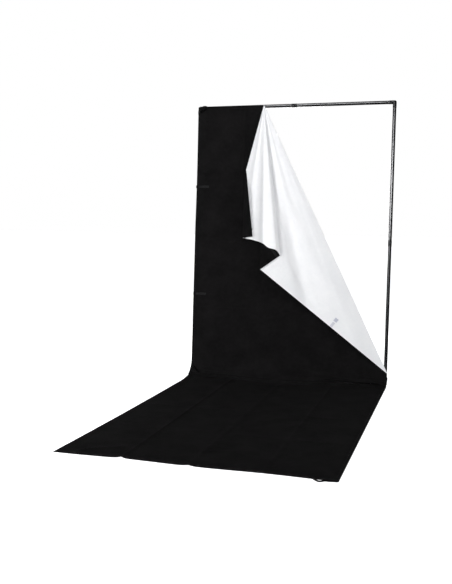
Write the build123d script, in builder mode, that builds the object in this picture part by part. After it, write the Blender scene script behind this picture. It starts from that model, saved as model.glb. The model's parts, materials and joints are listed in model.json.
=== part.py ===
from build123d import *
from math import cos, radians, sin, sqrt
import os

# Collapsible backdrop panel: a folding tube frame that leans back a little, with a reversible
# cloth hung on its front, one corner of the cloth folded forward, and the rest of the cloth
# running out over the floor. Millimetres, +Z up, +X to the right, -Y to the front.
# The origin is on the floor under the middle of the frame.

# ---- driving dimensions --------------------------------------------------------------------
frame_width = 1500.0      # over the corners
frame_height = 2060.0     # along the leaning posts
lean = radians(4.56)      # the posts lean back from upright
sweep_reach = 2156.0      # how far the cloth runs out in front of the frame

tube_r = 12.5             # 25 mm round tube
tube_wall = 1.2
collar_r = 13.5           # moulded parts stand 1 mm proud of the tube
spigot_r = 11.2           # 0.1 mm clear inside the tube
spigot_bore_r = 8.0
bore_share = 0.25         # how much of a spigot is bored out from its end
through = 1.0             # cuts and joined shapes run this far past a surface
butt_gap = 0.2            # tube end to shoulder

corner_arm = 38.0         # corner centre to tube end
corner_spigot = 42.0
fold_height = 1034.0      # the post hinges, above the middle so a folded frame clears the floor
leaf_collar = 21.0        # one hinge leaf covers this much of the post
leaf_spigot = 45.0
fold_axis_back = 20.5     # hinge pin behind the post's centre line
knuckle_r = 6.5
tongue_width = 7.0
ear_width = 5.0
ear_gap = 0.3
pin_r = 3.0
pin_clearance = 0.05
pin_head_r = 4.6
pin_head = 1.0
pin_end_clear = 0.1
web_root = 1.0            # a hinge plate starts this far inside its collar
lower_web_front = 11.0    # the plate below the hinge line, behind the post's centre line
lower_web_step = 14.0
lower_web_under = 6.0
upper_web_front = 8.0     # the plates above it
upper_web_step = 13.5
upper_web_top = 12.0
upper_web_under = 4.5
upper_web_slope = 4.0
lower_web_slope = 2.0

coupler_collar = 20.0     # one collar of the two at the middle of each bar
ferrule_half = 60.0

button_r = 3.0            # snap button nose
button_hole_r = 3.15
button_flange_r = 4.2
button_pocket_r = 4.35
button_floor = 2.0        # pocket floor, from the tube's centre line
flange_low = 8.6
flange_high = 10.3         # clears the tube's curved inner wall
button_proud = 1.5
button_from_arm_end = 18.0
button_round = 0.8
spring_reach = 3.4        # leaf spring, half its span
spring_end = 2.4          # its ends and its middle, below the button's centre plane
spring_middle = 5.4
spring_thick = 0.5
spring_width = 3.0

release_r = 3.2           # hinge release button
release_clear = 0.1
release_boss_r = 5.0
release_drop = 15.0       # button centre below the hinge line
release_boss_back = 24.5
release_back = 26.3
release_step_back = 20.0
release_stem_r = 1.8
release_front = 15.5
release_bore_front = 17.0
release_stem_front = 12.0

rivet_r = 1.55
rivet_hole_r = 1.6
rivet_head_r = 3.2
rivet_head = 1.0
rivet_taper = 30
rivet_depth = 7.5
rivet_hole_depth = 7.0
rivet_from_shoulder = 25.0

cloth = 1.5               # drawn thickness of one cloth layer
cloth_back = 14.2         # back of the hung cloth in front of the tubes' centre line
hem_low = 22.0            # lower hem of the hung cloth
hem_top = 2054.0
corner_cut = 40.0         # chamfer of the cloth at a frame corner
seam_gap = 0.5            # half the gap between upper and lower cloth at the fold
fold_top_x = -232.0       # where the forward fold leaves the top bar
fold_end_height = 92.0    # where the forward fold meets the right post

flap_axis_front = 18.2    # fold line in front of the tubes' centre line
flap_bead_r = 1.5
flap_thickness = 2.0
flap_tilt = radians(11.0)  # the flap hangs away from the cloth behind it
flap_top_clear = 8.0      # the flap stops short of the top bar
# the flap's outline and its elastic, as (up the fold from its foot, away from the fold)
flap_tip = (1089.0, 552.0)
flap_corner = (1361.0, 570.0)
flap_kink = (1807.0, 338.0)
flap_loop_outline = ((1230.0, 563.0), (1361.0, 572.0), (1361.0, 590.0), (1230.0, 581.0))
flap_tab_reach = 30.0
flap_tab_gap = 1.5

sweep_axis_y = -22.0
sweep_bead_r = 2.5
sweep_thickness = 2.4

front_loop_left_x = 620.0     # the loose loop in front of the cloth's front right corner
front_loop_right_x = 745.0
front_loop_depth = 14.0
under_loop_width = 110.0      # the loop under its front left corner
under_loop_thickness = 1.0
under_loop_inset = (12.0, 10.0)

band = 1.5                # drawn thickness of the elastic and the tabs
band_clear = 0.2
loop_near = 34.0          # corner loop, from the frame's corner to its two edges
loop_far = 62.0
tab_width = 20.0
tab_wrap = 36.0
tab_heights = (0.3, 0.7)  # shares of the frame's height
loop_behind_collar = 0.6

post_x = frame_width / 2 - collar_r
bar_low = collar_r
bar_high = frame_height - collar_r
tube_bore_r = tube_r - tube_wall
outer = frame_width / 2 + band_clear
loop_back = -collar_r - loop_behind_collar    # front face of the elastic behind a corner
loop_front = cloth_back - band_clear
# raises the leaning frame until the elastic under its bottom corners rests on the floor
lift = (band_clear + band) * cos(lean) + (band - loop_back) * sin(lean)

panel = Plane(origin=(0, 0, lift), x_dir=(1, 0, 0), z_dir=(0, -cos(lean), sin(lean)))


def facing(x, s, n=0.0):
    """A plane parallel to the leaning panel: local x across, y up the lean, z to the front."""
    return Plane(panel.from_local_coords((x, s, n)), x_dir=panel.x_dir, z_dir=panel.z_dir)


def upward(x, s, n=0.0):
    """A plane square to the posts, with its normal up the lean."""
    return Plane(panel.from_local_coords((x, s, n)), x_dir=panel.x_dir, z_dir=panel.y_dir)


def across(x, s, n=0.0):
    """A plane square to the bars: local x up the lean, y to the front, normal to the right."""
    return Plane(panel.from_local_coords((x, s, n)), x_dir=panel.y_dir, z_dir=panel.x_dir)


def backward(x, s):
    """A plane on a tube's centre line, with its normal to the back."""
    return Plane(panel.from_local_coords((x, s, 0)), x_dir=panel.x_dir, z_dir=-panel.z_dir)


def along_post(x, s, side):
    """A plane on a tube's centre line, with its normal up the lean (side 1) or down it (-1)."""
    return Plane(panel.from_local_coords((x, s, 0)), x_dir=panel.x_dir, z_dir=panel.y_dir * side)


def finish(part, name):
    """Labels a finished piece and writes it."""
    part.label = name
    export_step(part, f"parts/{name}.step")


def cut_hole(plane, radius, low, high):
    """A round cut in the part being built, between two distances along a plane's normal."""
    with BuildSketch(plane.offset(low)) as hole:
        Circle(radius)
    extrude(hole.sketch, amount=high - low, mode=Mode.SUBTRACT)


def tube(name, plane, length, holes):
    """A round tube. Each hole is (plane on the centre line, radius) and goes through one wall."""
    with BuildPart() as piece:
        with BuildSketch(plane):
            Circle(tube_r)
            Circle(tube_bore_r, mode=Mode.SUBTRACT)
        extrude(amount=length)
        for hole_plane, radius in holes:
            cut_hole(hole_plane, radius, 0, tube_r + through)
    finish(piece.part, name)


def snap_button(name, plane, top):
    """A flanged button in a tube. Its plane is on the tube's centre line, normal outward."""
    with BuildPart() as piece:
        with BuildSketch(plane.offset(flange_low)):
            Circle(button_flange_r)
        extrude(amount=flange_high - flange_low)
        with BuildSketch(plane.offset(flange_high)):
            Circle(button_r)
        extrude(amount=top - flange_high)
        rims = piece.edges().filter_by(GeomType.CIRCLE).sort_by(Axis(plane.origin, plane.z_dir))
        fillet(rims[-1], button_round)
    finish(piece.part, name)


def group(name, planes, build):
    """Several identical pieces as separate solids in one node."""
    with BuildPart() as piece:
        for plane in planes:
            build(plane)
    finish(piece.part, name)


def rivet(plane):
    """A blind rivet through a tube wall into a spigot. Its plane is on the centre line."""
    with BuildSketch(plane.offset(rivet_depth)) as shank:
        Circle(rivet_r)
    extrude(shank.sketch, amount=tube_r - rivet_depth)
    with BuildSketch(plane.offset(tube_r)) as head:
        Circle(rivet_head_r)
    extrude(head.sketch, amount=rivet_head, taper=rivet_taper)


def leaf_spring(plane):
    """A bent strip under a snap button, drawn pressed so that the button has its travel."""
    start = plane.origin - plane.y_dir * spring_width / 2
    side = Plane(start, x_dir=plane.x_dir, z_dir=plane.y_dir)
    with BuildSketch(side) as strip:
        with BuildLine():
            Polyline(
                (-spring_reach, -spring_end),
                (0, -spring_middle),
                (spring_reach, -spring_end),
                (spring_reach, -spring_end - spring_thick),
                (0, -spring_middle - spring_thick),
                (-spring_reach, -spring_end - spring_thick),
                close=True,
            )
        make_face()
    extrude(strip.sketch, amount=spring_width)


os.makedirs("parts", exist_ok=True)

# ---- places shared by several pieces --------------------------------------------------------
button_x = post_x - corner_arm - button_from_arm_end
coupler_button_x = coupler_collar / 2
ferrule_rivet_x = -ferrule_half * 2 / 3
corner_rivet = corner_arm + rivet_from_shoulder
leaf_rivet = leaf_collar + rivet_from_shoulder
left_right = {"left": -1, "right": 1}
low_high = {"bottom": 1, "top": -1}  # which way up the lean a corner's post arm points
bar_height = {"bottom": bar_low, "top": bar_high}


def coupler_button_plane(level):
    """The coupler's button points into the frame: up from the bottom bar, down from the top bar."""
    return along_post(coupler_button_x, bar_height[level], low_high[level])


# ---- moulded corners ------------------------------------------------------------------------
def corner(name, side, level):
    """An elbow with a spigot for the post and one for the bar."""
    x = side * post_x
    s = bar_height[level]
    up = low_high[level]
    post_plane = upward(x, s)
    bar_plane = across(x, s)
    with BuildPart() as piece:
        for plane, direction in ((post_plane, up), (bar_plane, -side)):
            with BuildSketch(plane):
                Circle(collar_r)
            extrude(amount=direction * corner_arm)
            with BuildSketch(plane.offset(direction * corner_arm)):
                Circle(spigot_r)
            extrude(amount=direction * corner_spigot)
        with Locations(post_plane.location):
            Sphere(collar_r)
        ends = (
            (post_plane.offset(up * (corner_arm + corner_spigot)), -up),
            (bar_plane.offset(-side * (corner_arm + corner_spigot)), side),
        )
        for plane, direction in ends:
            with BuildSketch(plane):
                Circle(spigot_bore_r)
            extrude(amount=direction * corner_spigot * bore_share, mode=Mode.SUBTRACT)
        cut_hole(backward(side * button_x, s), button_pocket_r, button_floor, collar_r)
        cut_hole(backward(x, s + up * corner_rivet), rivet_hole_r, rivet_hole_depth, collar_r)
    finish(piece.part, name)


for level in low_high:
    for side_name, side in left_right.items():
        corner(f"corner_{level}_{side_name}", side, level)
        snap_button(
            f"snap_button_{level}_{side_name}",
            backward(side * button_x, bar_height[level]),
            tube_r + button_proud,
        )

# ---- tubes ----------------------------------------------------------------------------------
post_low_end = bar_low + corner_arm + butt_gap
post_low_length = fold_height - leaf_collar - butt_gap - post_low_end
post_high_start = fold_height + leaf_collar + butt_gap
post_high_length = bar_high - corner_arm - butt_gap - post_high_start
bar_length = post_x - corner_arm - 2 * butt_gap

for side_name, side in left_right.items():
    x = side * post_x
    tube(
        f"post_tube_lower_{side_name}",
        upward(x, post_low_end),
        post_low_length,
        (
            (backward(x, bar_low + corner_rivet), rivet_hole_r),
            (backward(x, fold_height - leaf_rivet), rivet_hole_r),
        ),
    )
    tube(
        f"post_tube_upper_{side_name}",
        upward(x, post_high_start),
        post_high_length,
        (
            (backward(x, bar_high - corner_rivet), rivet_hole_r),
            (backward(x, fold_height + leaf_rivet), rivet_hole_r),
        ),
    )

for level, s in bar_height.items():
    tube(
        f"bar_tube_{level}_left",
        across(-butt_gap - bar_length, s),
        bar_length,
        ((backward(-button_x, s), button_hole_r), (backward(ferrule_rivet_x, s), rivet_hole_r)),
    )
    tube(
        f"bar_tube_{level}_right",
        across(butt_gap, s),
        bar_length,
        ((backward(button_x, s), button_hole_r), (coupler_button_plane(level), button_hole_r)),
    )

# ---- bar couplers ---------------------------------------------------------------------------
for level, s in bar_height.items():
    button_plane = coupler_button_plane(level)
    with BuildPart() as ferrule:
        with BuildSketch(across(-ferrule_half, s)):
            Circle(spigot_r)
        extrude(amount=2 * ferrule_half)
        for end, direction in ((-ferrule_half, 1), (ferrule_half, -1)):
            with BuildSketch(across(end, s)):
                Circle(spigot_bore_r)
            extrude(amount=direction * corner_spigot * bore_share, mode=Mode.SUBTRACT)
        cut_hole(button_plane, button_pocket_r, button_floor, tube_r)
        cut_hole(backward(ferrule_rivet_x, s), rivet_hole_r, rivet_hole_depth, tube_r)
    finish(ferrule.part, f"ferrule_{level}")

    with BuildPart() as collars:
        for start in (-coupler_collar, butt_gap):
            with BuildSketch(across(start, s)):
                Circle(collar_r)
                Circle(tube_r, mode=Mode.SUBTRACT)
            extrude(amount=coupler_collar - butt_gap)
        cut_hole(button_plane, button_hole_r, 0, collar_r + through)
    finish(collars.part, f"bar_collars_{level}")
    snap_button(f"snap_button_{level}_middle", button_plane, collar_r + button_proud)


# ---- post hinges ----------------------------------------------------------------------------
def leaf_body(x, up):
    """The collar and spigot that both leaves share, in the part being built."""
    plane = upward(x, fold_height)
    with BuildSketch(plane.offset(up * seam_gap / 2)) as collar:
        Circle(collar_r)
    extrude(collar.sketch, amount=up * (leaf_collar - seam_gap / 2))
    with BuildSketch(plane.offset(up * leaf_collar)) as spigot:
        Circle(spigot_r)
    extrude(spigot.sketch, amount=up * leaf_spigot)
    with BuildSketch(plane.offset(up * (leaf_collar + leaf_spigot))) as bore:
        Circle(spigot_bore_r)
    extrude(bore.sketch, amount=-up * leaf_spigot * bore_share, mode=Mode.SUBTRACT)
    cut_hole(backward(x, fold_height + up * leaf_rivet), rivet_hole_r, rivet_hole_depth, collar_r)


def knuckle(start_x, width, web):
    """A plate with a round knuckle about the pin, from start_x, in the part being built."""
    with BuildSketch(across(start_x, fold_height)) as plate:
        with Locations((0, -fold_axis_back)):
            Circle(knuckle_r)
        with BuildLine():
            Polyline(*web, close=True)
        make_face()
        with Locations((0, -fold_axis_back)):
            Circle(pin_r + pin_clearance, mode=Mode.SUBTRACT)
    extrude(plate.sketch, amount=width)


lower_web = (
    (-leaf_collar + web_root, -lower_web_front),
    (-seam_gap / 2, -lower_web_front),
    (-seam_gap / 2, -fold_axis_back),
    (-lower_web_slope, -fold_axis_back - lower_web_under),
    (-leaf_collar + web_root, -lower_web_step),
)
upper_web = (
    (seam_gap / 2, -upper_web_front),
    (upper_web_top, -upper_web_front),
    (upper_web_top, -upper_web_step),
    (upper_web_slope, -fold_axis_back - upper_web_under),
    (seam_gap / 2, -fold_axis_back),
)
ear_start = tongue_width / 2 + ear_gap
release_height = fold_height - release_drop

for side_name, side in left_right.items():
    x = side * post_x
    release_plane = backward(x, release_height)
    with BuildPart() as lower_leaf:
        leaf_body(x, -1)
        knuckle(x - tongue_width / 2, tongue_width, lower_web)
        with BuildSketch(release_plane.offset(release_stem_front - through)):
            Circle(release_boss_r)
        extrude(amount=release_boss_back - release_stem_front + through)
        bore_r = release_r + release_clear
        stem_bore_r = release_stem_r + release_clear
        cut_hole(release_plane, bore_r, release_bore_front, release_boss_back + through)
        cut_hole(release_plane, stem_bore_r, release_stem_front, release_boss_back)
    finish(lower_leaf.part, f"hinge_leaf_lower_{side_name}")

    with BuildPart() as upper_leaf:
        leaf_body(x, 1)
        knuckle(x + ear_start, ear_width, upper_web)
        knuckle(x - ear_start - ear_width, ear_width, upper_web)
    finish(upper_leaf.part, f"hinge_leaf_upper_{side_name}")

    with BuildPart() as release:
        with BuildSketch(release_plane.offset(release_step_back)):
            Circle(release_r)
        extrude(amount=release_back - release_step_back)
        with BuildSketch(release_plane.offset(release_front)):
            Circle(release_stem_r)
        extrude(amount=release_step_back - release_front)
    finish(release.part, f"hinge_release_{side_name}")

pin_half = ear_start + ear_width + pin_end_clear
with BuildPart() as hinge_pins:
    for side in left_right.values():
        start = side * post_x - pin_half
        with BuildSketch(across(start, fold_height, -fold_axis_back)):
            Circle(pin_r)
        extrude(amount=2 * pin_half)
        for head_start in (start - pin_head, start + 2 * pin_half):
            with BuildSketch(across(head_start, fold_height, -fold_axis_back)):
                Circle(pin_head_r)
            extrude(amount=pin_head)
finish(hinge_pins.part, "hinge_pins")

# ---- rivets and leaf springs ----------------------------------------------------------------
for half, level, up in (("lower", "bottom", 1), ("upper", "top", -1)):
    s = bar_height[level]
    places = [backward(ferrule_rivet_x, s)]
    springs = [coupler_button_plane(level)]
    for side in left_right.values():
        places.append(backward(side * post_x, s + up * corner_rivet))
        places.append(backward(side * post_x, fold_height - up * leaf_rivet))
        springs.append(backward(side * button_x, s))
    group(f"rivets_{half}", places, rivet)
    group(f"leaf_springs_{half}", springs, leaf_spring)

# ---- hung cloth -----------------------------------------------------------------------------
half_width = frame_width / 2
fold_run = half_width - fold_top_x
fold_drop = frame_height - fold_end_height


def fold_x(s):
    """Where the forward fold line crosses a height on the panel."""
    return fold_top_x + fold_run * (frame_height - s) / fold_drop


def sheet(name, outline):
    """A flat layer of cloth in front of the tubes."""
    with BuildPart() as piece:
        with BuildSketch(facing(0, 0, cloth_back)):
            with BuildLine():
                Polyline(*outline, close=True)
            make_face()
        extrude(amount=cloth)
    finish(piece.part, name)


seam_low = fold_height - seam_gap
seam_high = fold_height + seam_gap
sheet(
    "cloth_panel_lower",
    (
        (-half_width, hem_low),
        (half_width, hem_low),
        (half_width, fold_end_height),
        (fold_x(seam_low), seam_low),
        (-half_width, seam_low),
    ),
)
sheet(
    "cloth_panel_upper",
    (
        (-half_width, seam_high),
        (fold_x(seam_high), seam_high),
        (fold_x(hem_top), hem_top),
        (-half_width + corner_cut, hem_top),
        (-half_width, hem_top - corner_cut),
    ),
)

# ---- folded-forward flap --------------------------------------------------------------------
fold_length = sqrt(fold_run**2 + fold_drop**2)
along_fold = panel.y_dir * (fold_drop / fold_length) - panel.x_dir * (fold_run / fold_length)
off_fold = panel.x_dir * (-fold_drop / fold_length) - panel.y_dir * (fold_run / fold_length)
flap_away = off_fold * cos(flap_tilt) + panel.z_dir * sin(flap_tilt)
fold_foot = panel.from_local_coords((half_width, fold_end_height, flap_axis_front))
# local x runs up the fold line from its foot, local y runs away from it down the flap
flap_plane = Plane(fold_foot, x_dir=along_fold, z_dir=along_fold.cross(flap_away))
fold_axis_plane = Plane(fold_foot, z_dir=along_fold)

flap_length = fold_length - flap_top_clear
with BuildPart() as flap:
    with BuildSketch(fold_axis_plane):
        Circle(flap_bead_r)
    extrude(amount=flap_length)
    with BuildSketch(flap_plane.offset(-flap_thickness / 2)):
        with BuildLine():
            Polyline((0, 0), flap_tip, flap_corner, flap_kink, (flap_length, 0), close=True)
        make_face()
    extrude(amount=flap_thickness)
finish(flap.part, "cloth_flap")

with BuildPart() as flap_loop:
    with BuildSketch(flap_plane.offset(-flap_thickness / 2)):
        with BuildLine():
            Polyline(*flap_loop_outline, close=True)
        make_face()
    extrude(amount=flap_thickness)
finish(flap_loop.part, "corner_loop_flap")

hem_slope = flap_tip[1] / flap_tip[0]
with BuildPart() as flap_tabs:
    for share in tab_heights:
        up_hem = (share * frame_height - fold_end_height) / sqrt(1 + hem_slope**2)
        up_hem = min(up_hem, flap_tip[0] - tab_width)
        edge = up_hem * hem_slope + flap_tab_gap
        rise = tab_width * hem_slope
        with BuildSketch(flap_plane.offset(-flap_thickness / 2)):
            with BuildLine():
                Polyline(
                    (up_hem, edge),
                    (up_hem + tab_width, edge + rise),
                    (up_hem + tab_width - flap_tab_reach * hem_slope, edge + rise + flap_tab_reach),
                    (up_hem - flap_tab_reach * hem_slope, edge + flap_tab_reach),
                    close=True,
                )
            make_face()
        extrude(amount=flap_thickness)
finish(flap_tabs.part, "side_tabs_flap")

# ---- sweep on the floor ---------------------------------------------------------------------
front_y = -sweep_reach
under_loop_x = -half_width + under_loop_inset[0]
under_loop_y = front_y + under_loop_inset[1]

with BuildPart() as sweep_cloth:
    with BuildSketch(Plane.XY):
        with Locations((0, (sweep_axis_y + front_y) / 2)):
            Rectangle(frame_width, sweep_axis_y - front_y)
    extrude(amount=sweep_thickness)
    with BuildSketch(Plane(origin=(-half_width, sweep_axis_y, sweep_bead_r), z_dir=(1, 0, 0))):
        Circle(sweep_bead_r)
    extrude(amount=frame_width)
    with BuildSketch(Plane.XY):
        with Locations((under_loop_x, under_loop_y)):
            Rectangle(under_loop_width, front_loop_depth, align=Align.MIN)
    extrude(amount=under_loop_thickness + band_clear, mode=Mode.SUBTRACT)
finish(sweep_cloth.part, "cloth_sweep")

with BuildPart() as loop_front_left:
    with BuildSketch(Plane.XY):
        with Locations((under_loop_x + band_clear, under_loop_y + band_clear)):
            Rectangle(
                under_loop_width - 2 * band_clear,
                front_loop_depth - 2 * band_clear,
                align=Align.MIN,
            )
    extrude(amount=under_loop_thickness)
finish(loop_front_left.part, "corner_loop_front_left")

with BuildPart() as loop_front_right:
    with BuildSketch(Plane.XY):
        with Locations((front_loop_left_x, front_y - band_clear - front_loop_depth)):
            Rectangle(front_loop_right_x - front_loop_left_x, front_loop_depth, align=Align.MIN)
    extrude(amount=sweep_thickness)
finish(loop_front_right.part, "corner_loop_front_right")


# ---- elastic corner loops and side tabs -----------------------------------------------------
def corner_loop(name, side, level):
    """Elastic behind a frame corner, with an end round the post and an end round the bar."""
    up = low_high[level]
    edge_s = frame_height if up < 0 else 0.0

    def spot(inward_x, inward_s):
        return (side * (half_width - inward_x), edge_s + up * inward_s)

    over = -band_clear - band
    with BuildPart() as piece:
        with BuildSketch(facing(0, 0, loop_back - band)):
            with BuildLine():
                Polyline(
                    spot(over, loop_near),
                    spot(over, loop_far),
                    spot(loop_far, over),
                    spot(loop_near, over),
                    close=True,
                )
            make_face()
        extrude(amount=band)
        with BuildSketch(facing(0, 0, loop_back - band)):
            with BuildLine():
                Polyline(
                    spot(over, loop_near),
                    spot(over, loop_far),
                    spot(-band_clear, loop_far),
                    spot(-band_clear, loop_near),
                    close=True,
                )
            make_face()
            with BuildLine():
                Polyline(
                    spot(loop_near, over),
                    spot(loop_far, over),
                    spot(loop_far, -band_clear),
                    spot(loop_near, -band_clear),
                    close=True,
                )
            make_face()
        extrude(amount=loop_front - loop_back + band)
    finish(piece.part, name)


corner_loop("corner_loop_top_left", -1, "top")
corner_loop("corner_loop_bottom_left", -1, "bottom")
corner_loop("corner_loop_bottom_right", 1, "bottom")

for half, share in zip(("lower", "upper"), tab_heights):
    with BuildPart() as tab:
        with BuildSketch(upward(0, share * frame_height - tab_width / 2)):
            with BuildLine():
                Polyline(
                    (-outer - band, -loop_front),
                    (-outer, -loop_front),
                    (-outer, -loop_back),
                    (-outer + tab_wrap, -loop_back),
                    (-outer + tab_wrap, -loop_back + band),
                    (-outer - band, -loop_back + band),
                    close=True,
                )
            make_face()
        extrude(amount=tab_width)
    finish(tab.part, f"side_tab_{half}")
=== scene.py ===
import json
import math

import bmesh
import bpy
import numpy as np
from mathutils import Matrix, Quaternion, Vector, noise


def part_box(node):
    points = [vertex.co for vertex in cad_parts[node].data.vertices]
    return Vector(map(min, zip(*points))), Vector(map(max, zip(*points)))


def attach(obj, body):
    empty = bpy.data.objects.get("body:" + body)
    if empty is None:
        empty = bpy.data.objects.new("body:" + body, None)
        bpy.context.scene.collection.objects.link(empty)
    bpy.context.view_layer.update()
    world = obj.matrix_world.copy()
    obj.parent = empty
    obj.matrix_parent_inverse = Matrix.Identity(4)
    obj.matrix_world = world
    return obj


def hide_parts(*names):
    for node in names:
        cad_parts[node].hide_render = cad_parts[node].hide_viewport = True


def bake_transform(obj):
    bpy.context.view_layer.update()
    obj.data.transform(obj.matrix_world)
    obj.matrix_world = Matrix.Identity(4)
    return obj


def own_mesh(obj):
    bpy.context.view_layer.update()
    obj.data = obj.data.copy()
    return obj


# Collapsible backdrop panel. The tubes, corners, hinges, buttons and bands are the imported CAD
# nodes with new materials. The cloth is rebuilt here as three closed sheets: the hung cloth, the
# cove with the cloth on the floor, and the big corner that is folded forward in pleats.
# Metres, +Z up, +X to the right, -Y to the front.

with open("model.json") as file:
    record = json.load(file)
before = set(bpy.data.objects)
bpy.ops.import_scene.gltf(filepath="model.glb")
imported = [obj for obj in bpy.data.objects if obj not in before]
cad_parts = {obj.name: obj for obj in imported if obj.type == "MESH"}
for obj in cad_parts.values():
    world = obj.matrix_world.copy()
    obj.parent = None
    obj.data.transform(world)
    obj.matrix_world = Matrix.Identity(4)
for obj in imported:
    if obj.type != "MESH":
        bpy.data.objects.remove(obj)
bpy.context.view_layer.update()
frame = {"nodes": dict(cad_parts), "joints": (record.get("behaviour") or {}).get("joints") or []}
joints = {joint["name"]: joint for joint in frame["joints"]}


# ---- the leaning panel ----

def centre(node):
    low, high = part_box(node)
    return np.array((low + high) / 2)


def unit(v):
    return v / np.linalg.norm(v)


X = np.array([1.0, 0.0, 0.0])
Y = np.array([0.0, 1.0, 0.0])
Z = np.array([0.0, 0.0, 1.0])
UP = unit(centre("corner_top_left") - centre("corner_bottom_left"))   # along the posts
FRONT = np.array([0.0, -UP[2], UP[1]])  # out of the panel

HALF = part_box("cloth_panel_lower")[1].x               # half the cloth's width
COLLAR_R = HALF - centre("post_tube_lower_right")[0]
BASE = centre("bar_tube_bottom_left") * (0, 1, 1) - UP * COLLAR_R
TOP = float((np.array(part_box("cloth_panel_upper")[1]) - BASE) @ UP)   # upper hem
FOLD_S = float((np.array(joints["frame_fold"]["pos_m"]) - BASE) @ UP)
REACH = -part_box("cloth_sweep")[0].y                   # the cloth's front edge on the floor

CLOTH_N = 0.0154  # middle of the hung cloth, in front of the tubes' centre line
CLOTH = 0.0012  # cloth thickness
GRID = 0.014  # spacing of the cloth's grid lines
FLOOR_Z = 0.0024  # middle of the cloth on the floor
HEM = 0.020  # hem width
HEM_EXTRA = 0.0009  # a hem's second layer
HEM_LIFT = (CLOTH + HEM_EXTRA) / 2  # half a hem's thickness
CORNER_CUT = 0.006  # the cloth's top left corner is barely rounded off
QUARTER = HALF / 2  # the cloth is packed folded in quarters
QUARTER_S = FOLD_S / 2
SEAM_S = QUARTER_S  # where the hung sheet meets the cove sheet, on a packing crease
RIPPLE_GAIN = 1.6  # brings the noise up to about -1 to 1
SHARP_EDGE = math.radians(50)


def on_panel(x, s, n):
    """A point x across, s up the lean and n in front of the tubes' centre line."""
    x, s, n = np.broadcast_arrays(x, s, n)
    return BASE + x[..., None] * X + s[..., None] * UP + n[..., None] * FRONT


# ---- small helpers ----

def step(value, low, high):
    """0 below low, 1 above high, smooth in between."""
    t = np.clip((value - low) / (high - low), 0.0, 1.0)
    return t * t * (3 - 2 * t)


def bump(value, at, width):
    """A rounded swelling."""
    return np.exp(-(((value - at) / width) ** 2))


def ridge(value, at, width):
    """A crease: a sharp crest that falls away on both sides."""
    return np.exp(-np.abs(value - at) / width)


def creases(value, places, rises, width):
    """Several creases side by side, each with its own height."""
    return sum(rise * ridge(value, at, width) for at, rise in zip(places, rises))


def ripple(x, y, size, seed):
    """Smooth noise of about -1 to 1 over a sheet, with features of the given size."""
    flat = [
        noise.noise(Vector((a / size, b / size, seed)))
        for a, b in zip(np.ravel(x), np.ravel(y))
    ]
    return np.array(flat).reshape(np.shape(x)) * RIPPLE_GAIN


def ripples(x, y, layers):
    """Several layers of noise: (height, size, seed) each."""
    return sum(height * ripple(x, y, size, seed) for height, size, seed in layers)


def lines(low, high, spacing, marks=(), fine=(0.0,)):
    """Grid lines from low to high, with extra ones at fine offsets either side of each mark."""
    count = max(2, round((high - low) / spacing) + 1)
    extra = [m + side * f for m in marks for f in fine for side in (-1, 1)]
    kept = sorted(set([low, high] + [round(e, 6) for e in extra if low < e < high]))
    merged = list(kept)
    for value in np.linspace(low, high, count):
        if min(abs(value - k) for k in kept) > spacing * 0.4:
            merged.append(float(value))
    return np.array(sorted(merged))


def run_along(line):
    """Distance along a line of points, at each of them."""
    legs = np.linalg.norm(np.diff(line, axis=0), axis=1)
    return np.concatenate([[0], np.cumsum(legs)])


def at_distance(distance, run, values):
    """The values along a line at a distance, or at several, where run is their own distances."""
    return np.stack([np.interp(distance, run, column) for column in values.T], -1)


def units(vectors):
    return vectors / np.linalg.norm(vectors, axis=1)[:, None]


def normals(points):
    """Unit normals of a grid of points, rows first."""
    across = np.gradient(points, axis=0)
    along = np.gradient(points, axis=1)
    n = np.cross(across, along)
    length = np.linalg.norm(n, axis=2, keepdims=True)
    return n / np.maximum(length, 1e-12)


def link(obj):
    bpy.context.scene.collection.objects.link(obj)


def add_object(name, body, materials):
    """A mesh object from (vertices, faces, slots, uvs)."""
    vertices, faces, slots, uvs = body
    mesh = bpy.data.meshes.new(name)
    mesh.from_pydata([tuple(v) for v in vertices], [], faces)
    for material in materials:
        mesh.materials.append(material)
    mesh.polygons.foreach_set("material_index", slots)
    layer = mesh.uv_layers.new(name="cloth")
    corners = np.zeros(len(mesh.loops), np.int32)
    mesh.loops.foreach_get("vertex_index", corners)
    layer.data.foreach_set("uv", np.asarray(uvs, np.float32)[corners].ravel())
    merged = bmesh.new()
    merged.from_mesh(mesh)
    bmesh.ops.remove_doubles(merged, verts=merged.verts, dist=1e-6)
    bmesh.ops.dissolve_degenerate(merged, edges=merged.edges, dist=1e-7)
    bmesh.ops.recalc_face_normals(merged, faces=merged.faces)
    merged.to_mesh(mesh)
    merged.free()
    mesh.polygons.foreach_set("use_smooth", [True] * len(mesh.polygons))
    mesh.set_sharp_from_angle(angle=SHARP_EDGE)
    obj = bpy.data.objects.new(name, mesh)
    link(obj)
    return obj


BLACK, WHITE = 0, 1  # material slots of the cloth's two sides


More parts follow.
